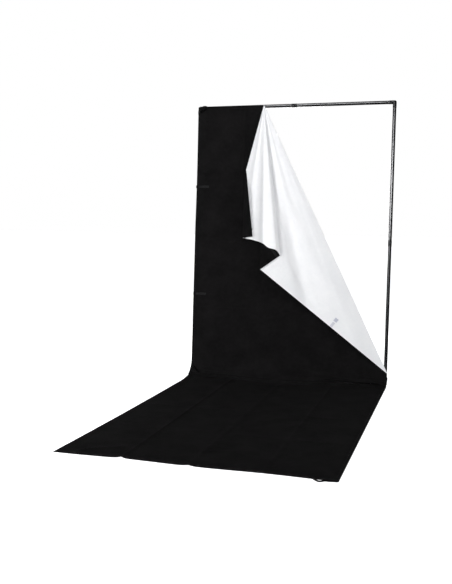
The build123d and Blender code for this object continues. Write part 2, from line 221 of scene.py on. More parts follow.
def sheet(points, thickness, uv, facing=None, front=BLACK):
    """A closed sheet around a grid of middle points: (vertices, faces, slots, uvs).
    The side that the grid's normals face has the slot called front, the other side the other."""
    rows, columns = points.shape[:2]
    n = normals(points) if facing is None else facing
    half = np.broadcast_to(thickness, (rows, columns))[..., None] / 2
    top = (points + n * half).reshape(-1, 3)
    under = (points - n * half).reshape(-1, 3)
    index = np.arange(rows * columns).reshape(rows, columns)
    a, b = index[:-1, :-1].ravel(), index[1:, :-1].ravel()
    c, d = index[1:, 1:].ravel(), index[:-1, 1:].ravel()
    low = rows * columns
    upper = np.concatenate([np.stack([a, b, c], 1), np.stack([a, c, d], 1)])
    lower = upper[:, ::-1] + low  # the same diagonals, so the sides never cross
    faces = [tuple(f) for f in np.concatenate([upper, lower]).tolist()]
    slots = [front] * len(upper) + [1 - front] * len(lower)
    rim = np.concatenate([index[:, 0], index[-1, 1:], index[-2::-1, -1], index[0, -2:0:-1]])
    for p, q in zip(rim, np.roll(rim, -1)):
        faces.append((int(q), int(p), int(p) + low, int(q) + low))
        slots.append(BLACK)
    uvs = np.concatenate([uv.reshape(-1, 2)] * 2)
    return np.concatenate([top, under]), faces, slots, uvs


def joined(parts):
    """Several (vertices, faces, slots, uvs) as one."""
    vertices, faces, slots, uvs, start = [], [], [], [], 0
    for v, f, s, t in parts:
        vertices.append(v)
        faces += [tuple(i + start for i in face) for face in f]
        slots += s
        uvs.append(t)
        start += len(v)
    return np.concatenate(vertices), faces, slots, np.concatenate(uvs)


STITCH = 0.0034  # a stitch's length, and how far apart they start
STITCH_PITCH = 0.0056
STITCH_WIDTH = 0.0008
STITCH_RISE = 0.0006


def stitches(points, up, slot):
    """A row of thread stitches along a line of points that lies on a surface facing up."""
    run = run_along(points)
    starts = np.arange(STITCH_PITCH, run[-1] - STITCH_PITCH, STITCH_PITCH)
    first = at_distance(starts, run, points)
    last = at_distance(starts + STITCH, run, points)
    rise = units(at_distance(starts + STITCH / 2, run, up))
    side = units(np.cross(last - first, rise)) * STITCH_WIDTH / 2
    middle = (first + last) / 2
    ring = np.stack([first, middle + side, last, middle - side], 1)
    crown = middle + rise * STITCH_RISE
    root = middle - rise * STITCH_RISE / 2
    vertices = np.concatenate([ring, crown[:, None], root[:, None]], 1).reshape(-1, 3)
    one = [(0, 1, 4), (1, 2, 4), (2, 3, 4), (3, 0, 4), (1, 0, 5), (2, 1, 5), (3, 2, 5), (0, 3, 5)]
    faces = [tuple(6 * i + k for k in f) for i in range(len(starts)) for f in one]
    uvs = np.zeros((len(vertices), 2))
    return vertices, faces, [slot] * len(faces), uvs


# ---- materials ----

class Tree:
    """A node tree, with short ways to add the nodes used here."""

    def __init__(self, owner):
        owner.use_nodes = True
        self.tree = owner.node_tree

    def add(self, kind, inputs=None, **settings):
        node = self.tree.nodes.new(kind)
        for key, value in settings.items():
            setattr(node, key, value)
        for key, value in (inputs or {}).items():
            self.put(node.inputs[key], value)
        return node

    def put(self, socket, value):
        if isinstance(value, bpy.types.NodeSocket):
            self.tree.links.new(value, socket)
        elif socket.type == "RGBA":
            socket.default_value = (*value, 1.0)
        else:
            socket.default_value = value

    def math(self, operation, a, b):
        return self.add("ShaderNodeMath", {0: a, 1: b}, operation=operation).outputs[0]

    def times(self, a, b):
        return self.math("MULTIPLY", a, b)

    def plus(self, a, b):
        return self.math("ADD", a, b)

    def mix(self, factor, a, b, kind="RGBA"):
        node = self.add("ShaderNodeMix", data_type=kind)
        self.put(node.inputs["Factor"], factor)
        self.put(node.inputs["A"], a)
        self.put(node.inputs["B"], b)
        return node.outputs["Result"]

    def span(self, value, low, high, to_low=0.0, to_high=1.0, shape="LINEAR"):
        inputs = {"Value": value, "From Min": low, "From Max": high}
        inputs.update({"To Min": to_low, "To Max": to_high})
        return self.add("ShaderNodeMapRange", inputs, interpolation_type=shape).outputs[0]

    def between(self, value, low, high, soft):
        """1 where a value lies between two limits, falling smoothly to 0 outside them."""
        rise = self.span(value, low - soft, low + soft, shape="SMOOTHSTEP")
        fall = self.span(value, high - soft, high + soft, 1.0, 0.0, shape="SMOOTHSTEP")
        return self.times(rise, fall)

    def place(self):
        return self.add("ShaderNodeTexCoord").outputs["Object"]

    def stretched(self, where, scale):
        return self.add("ShaderNodeMapping", {"Vector": where, "Scale": scale}).outputs[0]

    def noise(self, where, scale, detail=3.0, roughness=0.55):
        inputs = {"Vector": where, "Scale": scale, "Detail": detail, "Roughness": roughness}
        return self.add("ShaderNodeTexNoise", inputs).outputs["Fac"]

    def waves(self, where, scale, direction):
        inputs = {"Vector": where, "Scale": scale}
        node = self.add("ShaderNodeTexWave", inputs, wave_type="BANDS", bands_direction=direction)
        return node.outputs["Fac"]

    def bump(self, height, distance, strength=1.0, under=None):
        inputs = {"Height": height, "Distance": distance, "Strength": strength}
        node = self.add("ShaderNodeBump", inputs)
        if under is not None:
            self.put(node.inputs["Normal"], under)
        return node.outputs["Normal"]

    def edges(self, size):
        """1 on convex edges, 0 elsewhere, from the angle between true and rounded normals."""
        rounded = self.add("ShaderNodeBevel", {"Radius": size}, samples=4).outputs[0]
        true = self.add("ShaderNodeNewGeometry").outputs["Normal"]
        dot = self.add("ShaderNodeVectorMath", {0: rounded, 1: true}, operation="DOT_PRODUCT")
        return self.span(dot.outputs["Value"], 0.98, 0.8)


class Nodes(Tree):
    """A node material with one Principled surface."""

    def __init__(self, name):
        self.material = bpy.data.materials.new(name)
        super().__init__(self.material)
        self.surface = self.tree.nodes["Principled BSDF"]

    def set(self, **inputs):
        for key, value in inputs.items():
            self.put(self.surface.inputs[key.replace("_", " ")], value)


def grey(value):
    return (value, value, value)


WAVE_TURNS = 20 / math.tau  # a wave texture of scale 1 has this many bands per metre
ALONG_THREAD = 40  # thick places per metre, along a thread
ACROSS_THREAD = 900  # and across the threads


def weave(m, where, pitch):
    """Height of a plain weave: warp and weft bands that pass over and under each other."""
    scale = 1 / (pitch * WAVE_TURNS)
    warp = m.waves(where, scale, "X")
    weft = m.waves(where, scale, "Y")
    over = m.times(warp, m.math("SUBTRACT", 1.0, weft))
    under = m.times(weft, m.math("SUBTRACT", 1.0, warp))
    return m.plus(over, under)


def cloth_material(name, dark, light, sheen, roughness, specular, pitch, lint):
    """Woven cloth: a fine weave in the sheet's own coordinates, with soft creasing and lint."""
    m = Nodes(name)
    where = m.add("ShaderNodeUVMap", uv_map="cloth").outputs[0]
    threads = weave(m, where, pitch)
    slub = m.noise(m.stretched(where, (ALONG_THREAD, ACROSS_THREAD, 1)), 1)
    slub_up = m.noise(m.stretched(where, (ACROSS_THREAD, ALONG_THREAD, 1)), 1)
    slubs = m.plus(slub, slub_up)
    cloudy = m.noise(where, 7.0, 5.0)
    creased = m.noise(where, 38.0, 4.0, 0.6)
    tone = m.plus(m.times(cloudy, 0.6), m.times(creased, 0.4))
    shade = m.mix(m.span(tone, 0.35, 0.65), dark, light)
    specks = m.span(m.noise(where, 420.0, 2.0), 0.70, 0.78, 0.0, lint)
    shade = m.mix(specks, shade, (0.5, 0.5, 0.52))
    fine = m.bump(threads, pitch * 0.35, 0.55)
    coarse = m.bump(creased, 0.0016, 0.5, fine)
    normal = m.bump(slubs, 0.0001, 0.6, coarse)
    m.set(Base_Color=shade, Roughness=m.span(slubs, 0.6, 1.4, roughness - 0.06, roughness + 0.06))
    m.set(Specular_IOR_Level=specular, Sheen_Weight=sheen, Sheen_Roughness=0.45, Normal=normal)
    return m.material


black_cloth = cloth_material(
    "black_cloth", (0.0046, 0.0045, 0.0046), (0.0083, 0.0080, 0.0082),
    sheen=0.0, roughness=0.9, specular=0.02, pitch=0.0011, lint=0.05,
)
white_cloth = cloth_material(
    "white_cloth", (0.83, 0.835, 0.85), (0.88, 0.883, 0.89),
    sheen=0.12, roughness=0.55, specular=0.32, pitch=0.0008, lint=0.0,
)


THREAD_TWIST = 0.0006


def thread_material(name, dark, light):
    m = Nodes(name)
    where = m.place()
    twist = m.waves(where, 1 / (THREAD_TWIST * WAVE_TURNS), "DIAGONAL")
    m.set(Base_Color=m.mix(twist, dark, light), Roughness=0.5)
    m.set(Normal=m.bump(twist, 0.0001, 0.5))
    return m.material


def tube_material():
    """Satin black paint, slightly smudged by handling, with a few rubbed scuffs."""
    m = Nodes("tube_black")
    where = m.place()
    smudge = m.noise(where, 9.0, 3.0)
    scuff = m.span(m.noise(where, 120.0, 4.0, 0.6), 0.74, 0.80)
    paint = m.mix(smudge, (0.004, 0.004, 0.0045), (0.008, 0.008, 0.009))
    m.set(Base_Color=m.mix(scuff, paint, (0.02, 0.02, 0.021)))
    m.set(Roughness=m.span(smudge, 0.3, 0.7, 0.16, 0.22), Specular_IOR_Level=0.5)
    m.set(Normal=m.bump(smudge, 0.0002, 0.1))
    return m.material


def plastic_material():
    """Moulded black nylon with a spark texture, slightly polished on its edges."""
    m = Nodes("moulded_plastic")
    where = m.place()
    grain = m.noise(where, 1500.0, 3.0)
    flow = m.noise(where, 45.0, 4.0)
    edge = m.edges(0.0008)
    body = m.mix(flow, (0.008, 0.008, 0.0085), (0.015, 0.015, 0.016))
    m.set(Base_Color=m.mix(m.times(edge, 0.5), body, (0.06, 0.06, 0.062)))
    rough = m.span(flow, 0.3, 0.7, 0.42, 0.58)
    m.set(Roughness=m.math("SUBTRACT", rough, m.times(edge, 0.14)))
    m.set(Specular_IOR_Level=0.2, Normal=m.bump(grain, 0.00012, 0.5))
    return m.material


def metal_material(name, base, rough, brushed):
    m = Nodes(name)
    where = m.place()
    brush_lines = m.noise(m.stretched(where, brushed), 1.0, 4.0)
    stain = m.noise(where, 60.0, 4.0)
    dull = (base[0] * 0.62, base[1] * 0.61, base[2] * 0.6)
    m.set(Base_Color=m.mix(m.span(stain, 0.4, 0.7), base, dull), Metallic=1.0)
    m.set(Roughness=m.span(brush_lines, 0.3, 0.7, rough - 0.08, rough + 0.1))
    m.set(Normal=m.bump(brush_lines, 0.00005, 0.4))
    return m.material


def band_material(name, rib, direction, dark, light):
    """Woven narrow goods: ribs along the band, a cross weave and a little fuzz."""
    m = Nodes(name)
    where = m.place()
    ribs = m.waves(where, 1 / (rib * WAVE_TURNS), direction)
    cross = m.waves(where, 1 / (rib * 0.6 * WAVE_TURNS), "Y" if direction != "Y" else "X")
    fuzz = m.noise(where, 700.0, 3.0)
    height = m.plus(ribs, m.times(cross, 0.4))
    tone = m.times(m.plus(ribs, fuzz), 0.5)
    m.set(Base_Color=m.mix(tone, dark, light), Roughness=0.85, Specular_IOR_Level=0.04)
    m.set(Sheen_Weight=0.04, Sheen_Roughness=0.4, Normal=m.bump(height, 0.0003, 0.7))
    return m.material


COARSE_RIB = 0.0016
FINE_RIB = 0.0013
thread = thread_material("black_thread", grey(0.006), (0.02, 0.02, 0.021))
white_thread = thread_material("white_thread", (0.7, 0.7, 0.72), (0.86, 0.86, 0.87))
# Near black, darker than the black cloth: on the corner bands this colour stands for the shade of
# the grooves where the straps pull (painted shade); on the loops it is the elastic's own black.
elastic = band_material("elastic", COARSE_RIB, "Z", grey(0.0006), (0.002, 0.002, 0.0021))
webbing = band_material(
    "tab_webbing", FINE_RIB, "X", (0.007, 0.007, 0.0072), (0.020, 0.020, 0.0205),
)
pale_webbing = band_material("pale_webbing", FINE_RIB, "X", (0.55, 0.55, 0.60), (0.74, 0.74, 0.80))
hook_patch = band_material("hook_patch", COARSE_RIB, "X", (0.45, 0.46, 0.54), (0.62, 0.63, 0.72))
slot_materials = {
    "tube_black": tube_material(),
    "moulded_plastic": plastic_material(),
    "elastic": elastic,
    "tab_webbing": webbing,
    "cloth_black_white": black_cloth,
}
METALS = (  # name, colour, roughness, how finely it is brushed along each axis
    ("button_steel", (0.62, 0.62, 0.63), 0.24, (900, 60, 60)),
    ("fastener_steel", (0.5, 0.5, 0.52), 0.32, (500, 80, 500)),
    ("ferrule_alloy", (0.72, 0.73, 0.74), 0.34, (60, 800, 800)),
)
for metal in METALS:
    slot_materials[metal[0]] = metal_material(*metal)


def dress_cad_nodes():
    """Every carried-over node takes the finish that its material slot in the record names."""
    for obj in frame["nodes"].values():
        for slot in obj.material_slots:
            slot.material = slot_materials[slot.material.name.split(".")[0]]


dress_cad_nodes()


# ---- the cloth's own layout ----

def fold_foot():
    """The forward fold's lower end on the panel: (x, s, n)."""
    offset = np.array(joints["flap_open"]["pos_m"]) - BASE
    return offset[0], float(offset @ UP), float(offset @ FRONT)


FOLD_X, FOLD_FOOT_S, FOLD_N = fold_foot()
FOLD_AXIS = unit(np.array(joints["flap_open"]["axis"]))       # from the foot to the top bar
FOLD_LENGTH = (TOP - FOLD_FOOT_S) / float(FOLD_AXIS @ UP)
FOLD_TOP_X = FOLD_X + FOLD_AXIS[0] * FOLD_LENGTH

PACK_X = (-QUARTER, 0.0, QUARTER)  # upright packing creases
PACK_S = (QUARTER_S, FOLD_S, FOLD_S + QUARTER_S)  # level ones, up the panel
PACK_X_RISES = (0.0022, -0.0012, 0.0022)
PACK_S_RISES = (0.0018, -0.0012, 0.0018)
FINE = (0.0, 0.0015, 0.004, 0.009)  # grid lines beside a crease or a hem
SIDE_IN = 0.001  # the side hem, in from the full width
SIDE_PULL = 0.003  # how far it pulls in above the fold
STITCH_IN = HEM - 0.0024  # the hem's stitch row, from the edge
CLOTH_SLOTS = [black_cloth, white_cloth, thread, white_thread]
BLACK_THREAD, WHITE_THREAD = 2, 3


def packing_creases(x, s):
    """Height of the creases left by folding the cloth in quarters, in and out by turns."""
    return creases(x, PACK_X, PACK_X_RISES, 0.007) + creases(s, PACK_S, PACK_S_RISES, 0.006)


def drag_lines(x, s, folds):
    """Height of pulled folds, (start, end, width, height) each, strongest at their ends."""
    total = 0.0
    for start, end, width, height in folds:
        length = math.dist(start, end)
        across, up = (end[0] - start[0]) / length, (end[1] - start[1]) / length
        share = ((x - start[0]) * across + (s - start[1]) * up) / length
        off = (s - start[1]) * across - (x - start[0]) * up
        fade = step(share, 0.0, 0.9) * (1 - step(share, 1.0, 1.12))
        total = total + height * ridge(off, 0.0, width) * fade
    return total


def left_edge(s):
    """The side hem pulls in a little above the middle, and the top corner is cut off."""
    pull = SIDE_PULL * np.sin(np.pi * s / TOP * 2.0) ** 2 * step(s, FOLD_S, FOLD_S + 0.2)
    cut = np.maximum(0.0, s - (TOP - CORNER_CUT))
    return -HALF + SIDE_IN + pull + cut


def right_edge(s):
    """The fold line above the fold's foot, the side hem below it."""
    share = np.clip((s - FOLD_FOOT_S) / (TOP - FOLD_FOOT_S), 0.0, 1.0)
    return HALF + (FOLD_TOP_X - HALF) * share


HUNG_FOLDS = (  # pulled folds above the bend: start, end, width, height
    ((0.0, 0.28), (0.45, 0.04), 0.012, 0.0030),
    ((-0.36, 0.36), (-0.52, 0.20), 0.010, 0.0020),
    ((-0.40, 0.28), (-0.56, 0.14), 0.010, 0.0018),
)
HUNG_SLACK = ((0.0034, 0.36, 1.0), (0.0014, 0.12, 2.0))  # height, size and seed of noise
HUNG_PULLS = ((0.0022, 0.5, 3.0),)  # the same, drawn out on the bias
CLEAR_OF_TUBES = 0.0003
SLACK_ZONE = 0.12  # the cloth is taut this near the top bar and the forward fold


def hung_relief(x, s):
    """How far the hung cloth stands in front of its flattest shape."""
    slack = ripples(x, s, HUNG_SLACK) + ripples(x + s, (x - s) * 3, HUNG_PULLS)
    drags = drag_lines(x, s, HUNG_FOLDS)
    sides = step(x, -HALF, -HALF + 0.10) * step(TOP - s, 0.0, SLACK_ZONE)
    by_fold = step(right_edge(s) - x, 0.0, SLACK_ZONE)
    loose = 0.0012 + packing_creases(x, s) + slack * sides + drags
    return CLEAR_OF_TUBES + np.maximum(loose, 0.0) * by_fold


def hem_thickness(distance):
    """Cloth thickness with the second layer near a hem, at a distance from the edge."""
    return CLOTH + HEM_EXTRA * (1 - step(distance, HEM - 0.0012, HEM))


def inset(rows, distance):
    """The place, and the normal there, at a distance in from each row's first point."""
    points, ups = rows
    placed, facing = [], []
    for line, up in zip(points, ups):
        run = run_along(line)
        placed.append(at_distance(distance, run, line))
        facing.append(at_distance(distance, run, up))
    return np.array(placed), units(np.array(facing))


def hem_stitching(rows, lift=HEM_LIFT, front=BLACK_THREAD):
    """Stitch rows on both sides of a hem whose rows run in from the edge."""
    line, up = inset(rows, STITCH_IN)
    back = WHITE_THREAD if front == BLACK_THREAD else BLACK_THREAD
    return [
        stitches(line + up * lift, up, front),
        stitches(line - up * lift, -up, back),
    ]


# ---- hung cloth ----

TOP_SAG = 0.004  # between the top bar's ends
TOP_SAG_REACH = 0.3
HEM_ROWS = 8  # grid rows kept free at the top hem, for the side's stitches
HEM_COLUMNS = 5  # and columns at the side hem, for the top's
HINGE_ZONE = 0.045  # a zone this far either side of the hinges' line; make_hung_cloth works out its ends but nothing uses them


def hung_cloth():
    """The grid runs up from the seam and across from the left hem to the fold or right hem."""
    row_marks = list(PACK_S) + [TOP - HEM + 0.0006, TOP - CORNER_CUT]
    rows = lines(SEAM_S, TOP, GRID, row_marks, FINE)
    columns = lines(-HALF, HALF, GRID, list(PACK_X) + [-HALF + HEM], FINE)
    share = ((columns + HALF) / (2 * HALF))[None, :]
    s = np.repeat(rows[:, None], len(columns), 1)
    x = left_edge(s) + (right_edge(s) - left_edge(s)) * share
    along_bar = np.clip((x + HALF) / (FOLD_TOP_X + HALF), 0, 1)
    sag = TOP_SAG * np.sin(np.pi * along_bar) ** 2 * step(s, TOP - TOP_SAG_REACH, TOP)
    points = on_panel(x, s - sag, CLOTH_N + hung_relief(x, s))
    thick = hem_thickness(np.minimum(x - left_edge(s), TOP - s))
    ups = np.broadcast_to(FRONT, points.shape)
    side = [grid[:-HEM_ROWS] for grid in (points, ups)]
    top = [grid[::-1, HEM_COLUMNS:].transpose(1, 0, 2) for grid in (points, ups)]
    parts = [sheet(points, thick, np.stack([x, s], -1), front=WHITE)]
    parts += hem_stitching(side) + hem_stitching(top)
    return joined(parts)


def cloth_piece(name, body, *replaced):
    """A sheet of the black and white cloth, in place of CAD nodes."""
    piece = add_object(name, body, CLOTH_SLOTS)
    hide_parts(*replaced)
    return piece


def make_hung_cloth():
    piece = cloth_piece("hung_cloth", hung_cloth(), "cloth_panel_upper", "cloth_panel_lower")
    start = on_panel(0.0, FOLD_S - HINGE_ZONE, CLOTH_N)
    end = on_panel(0.0, FOLD_S + HINGE_ZONE, CLOTH_N)
    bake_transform(piece)


make_hung_cloth()


# ---- cove and floor cloth ----

NICK = 0.022  # depth of the nicks in the front hem
HEM_WANDER = 0.010  # how far the front hem wanders
HEM_IN = 0.004  # and how far in from the CAD's edge it starts
SIDE_BOW = 0.030  # how far the left hem bows in on the floor
FLOOR_SWELL = 0.0012  # how high the cloth stands off the floor, and its ripples on that
FLOOR_SLACK = ((0.0013, 0.30, 5.0), (0.0007, 0.09, 6.0))
FLAT_EDGE = 0.05  # it lies flat this near its hems
FLOOR_RISES = (0.0048, 0.0040, 0.0044)  # packing creases that run forward
PACK_DEPTHS = (QUARTER_S * 2, QUARTER_S * 3)  # and those that run across
PACK_DEPTH_RISES = (0.0016, 0.0016)
FLOOR_FOLDS = (  # pulled folds near the front hem: start, end, width, height
    ((-0.375, 1.90), (-0.62, 2.10), 0.017, 0.016),
    ((0.15, 1.85), (0.0, 1.91), 0.012, 0.009),
)
NEAREST = 0.034  # the bend's least distance in front of the frame, at its right
MOST = 0.135  # and how much more that is near the middle, and at the left
LEFT_MORE = 0.042


def crease_depth(x):
    """How far in front of the frame the cloth reaches the floor: most near the middle."""
    return NEAREST + MOST * bump(x, -0.035, 0.42) + LEFT_MORE * step(-x, 0.45, 0.7)


def front_edge(x):
    """The front hem wanders a little, with a nick at two of the packing creases."""
    nick = NICK * (ridge(x, -QUARTER, 0.02) + 0.8 * ridge(x, 0.0, 0.018))
    return -(REACH - HEM_IN - HEM_WANDER * np.sin((x + 0.7) * 4.2) ** 2 - nick)


def floor_left(depth):
    """The left side hem on the floor, bowed in between the frame and the front corner."""
    return -HALF + SIDE_BOW * (1 - ((depth - 0.3) / 1.85) ** 2) * step(depth, -0.05, 0.3)


def floor_relief(x, depth):
    """Height of the cloth on the floor over its flattest shape."""
    swell = FLOOR_SWELL + ripples(x, depth, FLOOR_SLACK)
    swell = swell + creases(x, PACK_X, FLOOR_RISES, 0.011)
    swell = swell + creases(depth, PACK_DEPTHS, PACK_DEPTH_RISES, 0.010)
    swell = swell + drag_lines(x, depth, FLOOR_FOLDS)
    from_hem = np.minimum(REACH - depth, HALF - np.abs(x))
    return np.maximum(swell, 0.0) * step(from_hem, 0.0, FLAT_EDGE)


ARRIVAL = unit(np.array([0.0, 1.0, 0.75]))  # the ramp's slope where it meets the floor
LEAVE_LOW = 0.02  # how far up the panel the ramp starts: at least this,
LEAVE_SLOPE = 1.15  # and more where it reaches further
LEAVE_SHARE = 0.42  # how long the ramp follows the panel, and then its own slope
ARRIVE_SHARE = 0.30
RAMP_SLACK = ((0.003, 0.2, 8.0),)
LIP = 0.008  # the roll of cloth just above the floor,
LIP_AT = 0.93  # as a share of the way down the ramp
TUCK = 0.016  # the pleat tucked back under the right side of the bend
TUCK_AT = 0.79
FOOT_LIFT = 0.004  # the cloth's height at the crease
SWEEP_LENGTH = 2.1  # from the crease to the front hem, roughly
HEM_LINES = 4  # grid rows kept free at the front hem, for the sides' stitches


def ramp(start, foot, shares):
    """The loose run of cloth from the panel forward to the crease, as a cubic curve."""
    reach = np.linalg.norm(foot - start)
    leave = start - UP * reach * LEAVE_SHARE
    arrive = foot + ARRIVAL * reach * ARRIVE_SHARE
    t = shares[:, None]
    return (
        (1 - t) ** 3 * start + 3 * (1 - t) ** 2 * t * leave
        + 3 * (1 - t) * t**2 * arrive + t**3 * foot
    )


def swept_rows():
    """Shares down the panel, along the ramp and out over the floor."""
    wall = lines(0.0, 1.0, 1 / 30.0)
    bend = np.concatenate([np.linspace(0.0, 0.88, 22), [0.91, 0.94, 0.965, 0.985, 1.0]])[1:]
    fine = (0.0, 0.0005, 0.0015, 0.004)
    floor = lines(0.0, 1.0, 1 / 130.0, [0.003, 0.007, 1 - HEM / SWEEP_LENGTH], fine)[1:]
    return wall, bend, floor


def swept_column(share, wall_rows, bend_rows, floor_rows):
    """One column of the cloth, from the seam on the panel down and out to the front hem."""
    depth = float(crease_depth(-HALF + 2 * HALF * share))
    leave_s = LEAVE_LOW + LEAVE_SLOPE * depth
    s = SEAM_S + (leave_s - SEAM_S) * wall_rows
    x = left_edge(s) + (right_edge(s) - left_edge(s)) * share
    wall = on_panel(x, s, CLOTH_N + hung_relief(x, s))
    foot = np.array([x[-1], -depth, FLOOR_Z + FOOT_LIFT])
    bend = ramp(wall[-1], foot, bend_rows)
    loose = ripples(x[-1] + 0 * bend_rows, bend_rows, RAMP_SLACK)
    lip = LIP * bump(bend_rows, LIP_AT, 0.035) + loose * np.sin(np.pi * bend_rows) ** 2
    bend = bend + lip[:, None] * unit(Z - Y)
    tucked = TUCK * step(x[-1], 0.10, 0.40) * (1 - step(x[-1], 0.66, 0.74))
    bend = bend + tucked * bump(bend_rows, TUCK_AT, 0.065)[:, None] * Y
    y = -depth + (float(front_edge(x[-1])) + depth) * floor_rows
    inward = (floor_left(-y) - floor_left(depth)) * (1 - share)
    flat = np.stack([x[-1] + inward, y, FLOOR_Z + 0 * y], 1)
    return np.concatenate([wall, bend, flat])


def swept_cloth():
    """The grid runs down from the seam and out to the front hem, and across from the left."""
    marks = list(PACK_X) + [-HALF + HEM, HALF - HEM]
    shares = (lines(-HALF, HALF, GRID, marks, FINE) + HALF) / (2 * HALF)
    rows = swept_rows()
    points = np.stack([swept_column(share, *rows) for share in shares], 1)
    legs = np.linalg.norm(np.diff(points, axis=0), axis=2)
    run = SEAM_S - np.concatenate([np.zeros((1, len(shares))), np.cumsum(legs, axis=0)])
    flat = len(rows[0]) + len(rows[1])
    depth = -points[flat:, :, 1]
    past = step(depth - depth[0], 0.0, 0.08)
    points[flat:, :, 2] += floor_relief(points[flat:, :, 0], depth) * past
    side = 2 * HALF * np.minimum(shares, 1 - shares)[None, :]
    thick = hem_thickness(np.minimum(side, run - run[-1][None, :]))
    ups = normals(points)
    parts = [sheet(points, thick, np.stack([points[..., 0], run], -1))]
    front = [grid[::-1].transpose(1, 0, 2) for grid in (points, ups)]
    left = [grid[:-HEM_LINES] for grid in (points, ups)]
    right = [grid[flat:-HEM_LINES, ::-1] for grid in (points, ups)]
    for rows in (front, left, right):
        parts += hem_stitching(rows)
    return joined(parts)


def blend_with_sweep(piece):
    """Bakes the piece's placement into its mesh."""
    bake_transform(piece)


blend_with_sweep(cloth_piece("floor_cloth", swept_cloth(), "cloth_sweep"))


# ---- folded corner of the cloth ----

FLAP_TILT = math.radians(11)  # how far the flap stands off the panel
FOLD_TOP = np.array(joints["flap_open"]["pos_m"]) + FOLD_AXIS * FOLD_LENGTH
DOWN_FOLD = -FOLD_AXIS
flat_away = np.cross(FOLD_AXIS, FRONT)
flat_away = flat_away * (-1 if flat_away[0] > 0 else 1)
AWAY = flat_away * math.cos(FLAP_TILT) + FRONT * math.sin(FLAP_TILT)
OUT = FRONT * math.cos(FLAP_TILT) - flat_away * math.sin(FLAP_TILT)

# Corners of the pleated flap, as (down the fold, away from the fold).
HEM_FOOT = (FOLD_LENGTH, 0.0)
FIRST_PLEAT = (1.122, 0.529)  # the cloth turns back here, black side out
SECOND_PLEAT = (1.089, 0.3535)  # and turns forward again here, white side out
TURNED_FOLD = (0.857, 0.551)  # lower end of the small turned corner's fold
TURNED_KINK = (0.398, 0.320)  # its upper end, on the top hem
CLOTH_CORNER = (0.880, 0.481)  # the cloth's own corner
FRONT_HEM = (
    SECOND_PLEAT, (1.0474, 0.3614), (0.9984, 0.4103), (0.9577, 0.4303), (0.9121, 0.4776),
    TURNED_FOLD,
)
LOW_MIDDLE = (1.59, 0.297)  # the side hem hangs in a curve through here
LAYER_GAP = 0.005  # between the layers of the pleats
TURNED_LIFT = 0.022  # the turned corner's height in front of the flap
TURNED_R = 0.0035  # the roll of its fold
ROLL_R = 0.0026  # the forward fold itself is a soft roll
FLAP_START = 2 * ROLL_R - (FOLD_N - CLOTH_N)  # the lowest layer's height off the fold's axis
LOW_POINTS = 74  # points along each stretch of the flap's outer line
MIDDLE_POINTS = 14
FRONT_POINTS = 46
TURNED_POINTS = 34
TURN_STEPS = 9  # round each pleat's fold
CRUMPLE = ((0.0009, 0.06, 9.0),)
PARTING = 0.6  # how soon the layers part below the top, as a power
RELIEF_GROWTH = 0.9  # and how soon the pleats grow
STEEPEST_DIP = 0.15  # how far a pleat may dip, per metre away from the fold
FOOT_ROWS = 9  # grid rows kept free at the fold's foot, for the hem
TOP_RINGS = 12  # and rings at the top


def on_flap(along, away, out):
    """A point measured from the fold's top end: down the fold, away from it, and forward."""
    along, away, out = np.broadcast_arrays(along, away, out)
    return (
        FOLD_TOP + along[..., None] * DOWN_FOLD + away[..., None] * AWAY + out[..., None] * OUT
    )


def smooth_line(corners, count):
    """Points along a smooth curve through the corners."""
    corners = np.array(corners, float)
    knots = run_along(corners)
    slopes = np.gradient(corners, knots, axis=0)
    at = np.linspace(0, knots[-1], count)
    k = np.clip(np.searchsorted(knots, at, side="right") - 1, 0, len(knots) - 2)
    h = knots[k + 1] - knots[k]
    t = ((at - knots[k]) / h)[:, None]
    h = h[:, None]
    return (
        (2 * t**3 - 3 * t**2 + 1) * corners[k]
        + (t**3 - 2 * t**2 + t) * h * slopes[k]
        + (-2 * t**3 + 3 * t**2) * corners[k + 1]
        + (t**3 - t**2) * h * slopes[k + 1]
    )


def half_turn(at, before, start, end):
    """A fold seen from its end: the hem swings round from height start to end at one corner."""
    angle = np.linspace(-math.pi / 2, math.pi / 2, TURN_STEPS)[1:-1]
    outward = unit(np.array(at) - np.array(before))
    flat = np.array(at) + np.cos(angle)[:, None] * outward * abs(end - start) / 2
    return flat, (start + end) / 2 + np.sin(angle) * (end - start) / 2


LOW_HEM = smooth_line([HEM_FOOT, LOW_MIDDLE, FIRST_PLEAT], LOW_POINTS)


def flap_hem():
    """The flap's outer line from the fold's foot to the kink: flat points, heights, 1 on the
    lowest layer, 1 on the front layer, and how many points are on the turned corner's fold."""
    turn_a, height_a = half_turn(FIRST_PLEAT, LOW_HEM[-6], 0.0, LAYER_GAP)
    mid = smooth_line([FIRST_PLEAT, SECOND_PLEAT], MIDDLE_POINTS)
    turn_b, height_b = half_turn(SECOND_PLEAT, mid[-4], LAYER_GAP, 2 * LAYER_GAP)
    top = smooth_line(FRONT_HEM, FRONT_POINTS)
    edge = smooth_line([TURNED_FOLD, TURNED_KINK], TURNED_POINTS)[1:]
    stretches = (
        (LOW_HEM, 0.0, 1.0, 0.0), (turn_a, height_a, 0.0, 0.0), (mid, LAYER_GAP, 0.0, 0.0),
        (turn_b, height_b, 0.0, 0.0), (top, 2 * LAYER_GAP, 0.0, 1.0),
        (edge, 2 * LAYER_GAP, 0.0, 1.0),
    )
    flat = np.concatenate([stretch[0] for stretch in stretches])
    heights, low, front = (
        np.concatenate([np.broadcast_to(stretch[k], len(stretch[0])) for stretch in stretches])
        for k in (1, 2, 3)
    )
    return flat, heights, low, front, len(edge) + 1


def pleat(angle, at, steep, gentle):
    """A pleat that rises gently from the fold's side and drops steeply past its line."""
    return np.where(angle > at, bump(angle, at, steep), bump(angle, at, gentle))


